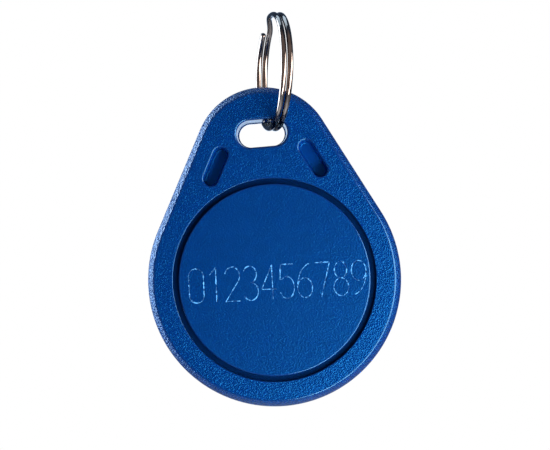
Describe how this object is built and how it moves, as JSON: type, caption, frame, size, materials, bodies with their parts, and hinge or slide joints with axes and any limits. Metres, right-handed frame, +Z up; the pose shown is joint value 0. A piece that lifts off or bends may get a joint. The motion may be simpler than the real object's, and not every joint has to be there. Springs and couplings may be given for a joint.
{
  "type": "transit token",
  "caption": "Teardrop plastic transit fob that hangs from a split ring through its oblong slot, with a flush round cover over an antenna coil and a chip board.",
  "frame": {"origin": "centre of the round cover on the reader face, which is the plane y = 0", "axes": "+X right seen from the reader face, +Y into the token from its reader face, +Z up towards the ring slot"},
  "size_m": [0.032, 0.015, 0.0498],
  "materials": {
    "body_plastic": "blue ABS with a fine sparkling spark-eroded grain",
    "cover_plastic": "blue ABS, smoother and more matte than the body",
    "copper": "enamelled copper wire",
    "adhesive": "pale adhesive pad",
    "board": "green glass-epoxy board",
    "contact": "gold-plated copper",
    "solder": "bright solder",
    "silicon": "bare silicon",
    "epoxy": "black epoxy drop",
    "plated_wire": "polished nickel-plated steel wire"
  },
  "bodies": {
    "split_ring": {"split_ring": "plated_wire"},
    "token": {"token_body": "body_plastic", "cover_disc": "cover_plastic", "antenna_coil": "copper", "coil_lead_start": "copper", "coil_lead_finish": "copper", "board_adhesive": "adhesive", "chip_board": "board", "contact_pad_left": "contact", "contact_pad_right": "contact", "solder_joint_left": "solder", "solder_joint_right": "solder", "chip_die": "silicon", "chip_cap": "epoxy"}
  },
  "joints": [
    {"name": "token_swing", "type": "hinge", "parent": "split_ring", "child": "token", "pos_m": [0.00222, 0.0021, 0.02628], "axis": [0.969, 0.225, -0.1019], "continuous": true}
  ]
}
